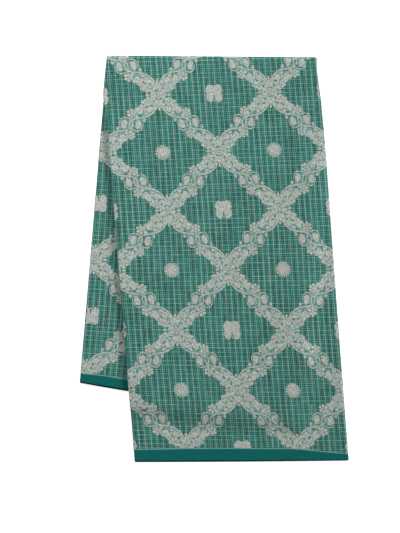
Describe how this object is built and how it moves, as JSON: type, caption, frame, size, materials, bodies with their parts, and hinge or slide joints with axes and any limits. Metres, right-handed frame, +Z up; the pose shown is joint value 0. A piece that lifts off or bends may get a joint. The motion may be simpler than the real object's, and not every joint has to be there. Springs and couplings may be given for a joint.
{
  "type": "folded saree",
  "caption": "Checked and brocaded saree folded to a strip and laid flat, with a long front fall over a shorter back fall.",
  "frame": {"origin": "on the surface it lies on, under the middle of the part's box", "axes": "+X across the strip to its closed side, +Y up the falls to the fold, +Z up from the surface"},
  "size_m": [0.4343, 0.6558, 0.014],
  "materials": {
    "field_cloth": "fine sheer teal check in cotton and silk with pale metallic brocade",
    "border_cloth": "plain dense teal weave with a slight sheen",
    "layer_cloth": "edges of the folded teal layers"
  },
  "bodies": {
    "root": {"front_field": "field_cloth", "front_border": "border_cloth", "fold_turn": "field_cloth", "back_field": "field_cloth", "back_border": "border_cloth", "under_field": "field_cloth", "under_border": "border_cloth", "hidden_layers": "layer_cloth"}
  },
  "joints": []
}
